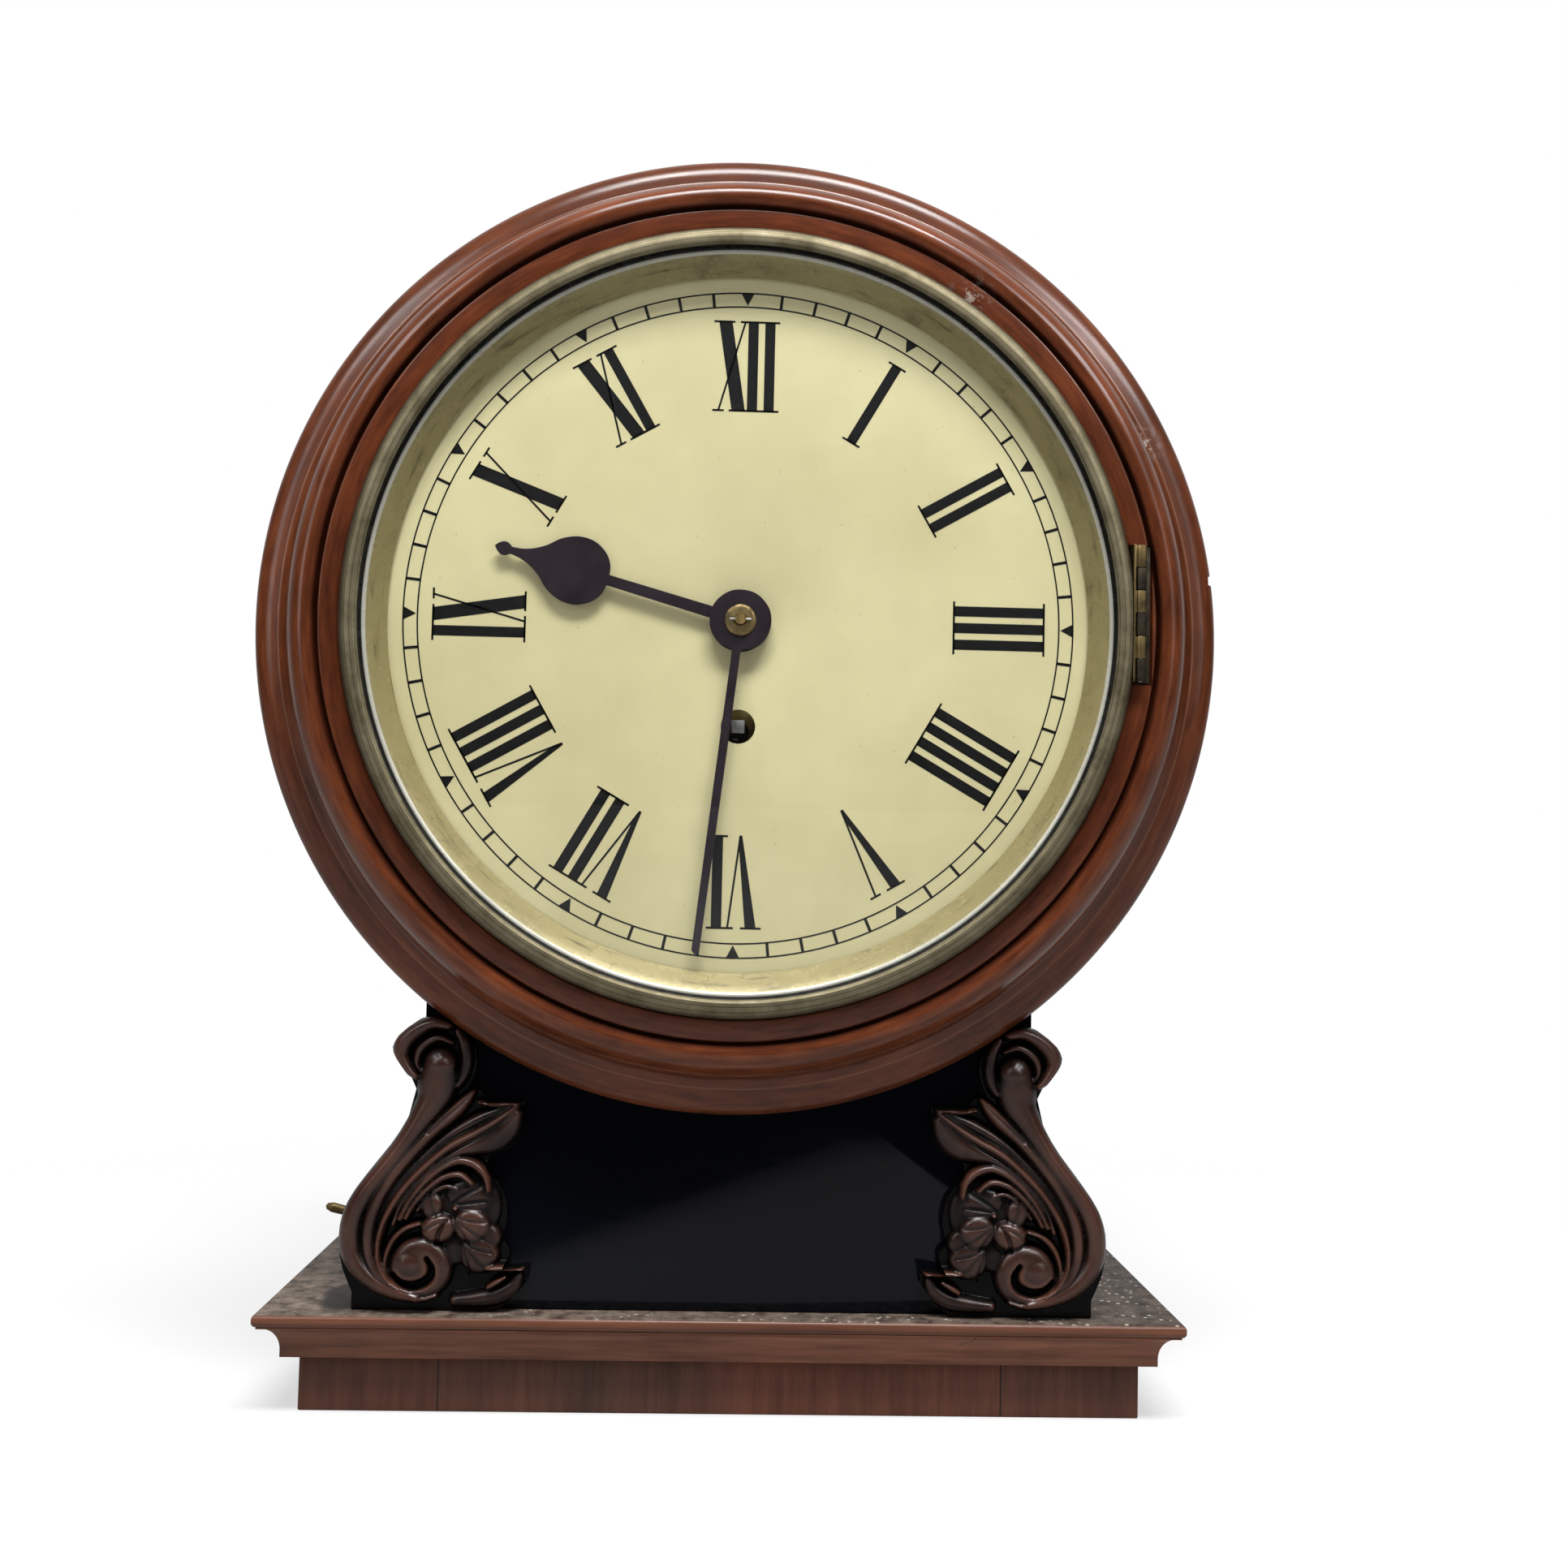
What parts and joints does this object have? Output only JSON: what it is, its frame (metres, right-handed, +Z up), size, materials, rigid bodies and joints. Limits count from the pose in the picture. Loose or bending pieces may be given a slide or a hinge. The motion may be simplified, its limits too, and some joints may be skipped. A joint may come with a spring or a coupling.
{
  "type": "drum-head shelf timepiece",
  "caption": "Free-standing shelf clock: round dial in a turned wood surround on a drum, waisted trunk with carved scroll brackets and doors, moulded plinth, fusee movement and pendulum.",
  "frame": {"origin": "on the surface it stands on, under the middle of the overall box", "axes": "+Z up, the dial faces -Y, +X to the right seen from the front"},
  "size_m": [0.2904, 0.16, 0.3796],
  "materials": {
    "mahogany": "red-brown french polish, worn, with light arris lines",
    "dark_mahogany": "dark stained and polished",
    "ebonised_panel": "black, mirror gloss, fine scratches",
    "carved_wood": "dark stain, rubbed red-brown on the high parts",
    "plain_wood": "unfinished softwood",
    "bezel_brass": "polished, lightly tarnished",
    "aged_brass": "tarnished",
    "movement_brass": "grained and lacquered",
    "steel": "grey, turned",
    "blued_steel": "blued nearly black",
    "glass": "clear",
    "dial_paint": "cream paint, fine specks, black numerals"
  },
  "bodies": {
    "case": {"plinth": "mahogany", "base_board": "mahogany", "dial_surround": "mahogany", "base_cove_front": "dark_mahogany", "base_cove_left": "dark_mahogany", "base_cove_right": "dark_mahogany", "trunk_back_board": "dark_mahogany", "trunk_side_right": "dark_mahogany", "trunk_side_left": "dark_mahogany", "drum_shell": "dark_mahogany", "drum_back_ring": "dark_mahogany", "trunk_front_panel": "ebonised_panel", "bracket_right": "carved_wood", "bracket_left": "carved_wood", "base_back_rail": "plain_wood", "surround_hinge_leaf": "aged_brass", "side_hinge_fixed_leaf": "aged_brass", "back_hinge_fixed_leaf": "aged_brass", "front_plate": "movement_brass", "back_plate": "movement_brass", "pillar_1": "movement_brass", "pillar_2": "movement_brass", "pillar_3": "movement_brass", "pillar_4": "movement_brass", "back_cock": "movement_brass", "bezel_hinge_pin": "steel", "barrel_arbor": "steel", "mainspring": "steel", "fusee_line": "steel", "dial_plate": "dial_paint"},
    "bezel": {"bezel": "bezel_brass", "bezel_glass": "glass", "sight_ring": "bezel_brass", "bezel_hinge_leaf": "bezel_brass"},
    "side_door": {"side_door": "dark_mahogany", "side_hinge_door_leaf": "aged_brass"},
    "side_catch": {"side_door_catch": "bezel_brass"},
    "back_door": {"back_door": "dark_mahogany", "back_hinge_door_leaf": "aged_brass"},
    "back_button": {"back_turn_button": "aged_brass"},
    "minute_hand": {"minute_hand": "blued_steel", "cannon_pinion": "steel"},
    "minute_wheel": {"minute_wheel": "movement_brass"},
    "hour_hand": {"hour_hand": "blued_steel", "hour_wheel": "movement_brass"},
    "centre_arbor": {"centre_wheel": "movement_brass", "hand_collet": "bezel_brass", "hand_pin": "steel"},
    "third_arbor": {"third_wheel": "movement_brass"},
    "great_wheel": {"great_wheel": "movement_brass"},
    "escape_arbor": {"escape_wheel": "movement_brass"},
    "fusee": {"fusee": "steel"},
    "barrel": {"barrel": "movement_brass", "barrel_cover": "movement_brass"},
    "pendulum": {"suspension_spring": "steel", "pendulum_rod": "steel", "pendulum_bob": "movement_brass"},
    "pallets": {"pallets": "steel"},
    "rating_nut": {"rating_nut": "movement_brass"}
  },
  "joints": [
    {"name": "bezel_hinge", "type": "hinge", "parent": "case", "child": "bezel", "pos_m": [0.116, -0.0773, 0.2389], "axis": [0, 0, 1], "range_deg": [0, 110]},
    {"name": "side_door_hinge", "type": "hinge", "parent": "case", "child": "side_door", "pos_m": [-0.1009, 0.0309, 0.07062], "axis": [-0.2316, 0, -0.9728], "range_deg": [0, 100]},
    {"name": "side_catch_turn", "type": "hinge", "parent": "side_door", "child": "side_catch", "pos_m": [-0.10403, -0.0205, 0.04927], "axis": [0.9728, 0, -0.2316], "range_deg": [0, 90]},
    {"name": "back_door_hinge", "type": "hinge", "parent": "case", "child": "back_door", "pos_m": [0.1002, 0.0784, 0.2344], "axis": [0, 0, -1], "range_deg": [0, 110]},
    {"name": "back_button_turn", "type": "hinge", "parent": "case", "child": "back_button", "pos_m": [-0.1055, 0.0775, 0.2344], "axis": [0, 1, 0], "range_deg": [0, 90]},
    {"name": "third_arbor_turn", "type": "hinge", "parent": "case", "child": "third_arbor", "pos_m": [0.016, -0.025, 0.25039], "axis": [0, -1, 0], "continuous": true},
    {"name": "great_wheel_turn", "type": "hinge", "parent": "case", "child": "great_wheel", "pos_m": [0, -0.008, 0.2039], "axis": [0, 1, 0], "continuous": true},
    {"name": "centre_arbor_turn", "type": "hinge", "parent": "case", "child": "centre_arbor", "pos_m": [0, -0.025, 0.2344], "axis": [0, 1, 0], "continuous": true},
    {"name": "escape_arbor_turn", "type": "hinge", "parent": "case", "child": "escape_arbor", "pos_m": [0, -0.005, 0.26381], "axis": [0, 1, 0], "continuous": true},
    {"name": "minute_hand_turn", "type": "hinge", "parent": "case", "child": "minute_hand", "pos_m": [0, -0.065, 0.2344], "axis": [0, 1, 0], "continuous": true},
    {"name": "minute_wheel_turn", "type": "hinge", "parent": "case", "child": "minute_wheel", "pos_m": [-0.01527, -0.06, 0.21913], "axis": [0, 1, 0], "continuous": true},
    {"name": "hour_hand_turn", "type": "hinge", "parent": "case", "child": "hour_hand", "pos_m": [0, -0.068, 0.2344], "axis": [0, 1, 0], "continuous": true},
    {"name": "fusee_turn", "type": "hinge", "parent": "case", "child": "fusee", "pos_m": [0, -0.025, 0.2039], "axis": [0, 1, 0], "range_deg": [-1080, 1080]},
    {"name": "barrel_turn", "type": "hinge", "parent": "case", "child": "barrel", "pos_m": [-0.043, -0.025, 0.1804], "axis": [0, 1, 0], "range_deg": [-468, 468]},
    {"name": "pendulum_swing", "type": "hinge", "parent": "case", "child": "pendulum", "pos_m": [0, 0.0243, 0.2864], "axis": [0, 1, 0], "range_deg": [-4.5, 4.5]},
    {"name": "pallet_rock", "type": "hinge", "parent": "case", "child": "pallets", "pos_m": [0, 0, 0.2864], "axis": [0, 1, 0], "range_deg": [-4.5, 4.5]},
    {"name": "rating_nut_turn", "type": "hinge", "parent": "pendulum", "child": "rating_nut", "pos_m": [0, 0.0243, 0.0556], "axis": [0, 0, 1], "continuous": true}
  ],
  "couplings": [
    {"joint": "third_arbor_turn", "follows": "escape_arbor_turn", "ratio": 0.090909},
    {"joint": "centre_arbor_turn", "follows": "escape_arbor_turn", "ratio": 0.0075758},
    {"joint": "great_wheel_turn", "follows": "escape_arbor_turn", "ratio": -0.00063131},
    {"joint": "minute_wheel_turn", "follows": "minute_hand_turn", "ratio": -0.33333},
    {"joint": "hour_hand_turn", "follows": "minute_hand_turn", "ratio": 0.083333},
    {"joint": "barrel_turn", "follows": "fusee_turn", "ratio": 0.43333},
    {"joint": "pallet_rock", "follows": "pendulum_swing", "ratio": 1}
  ]
}
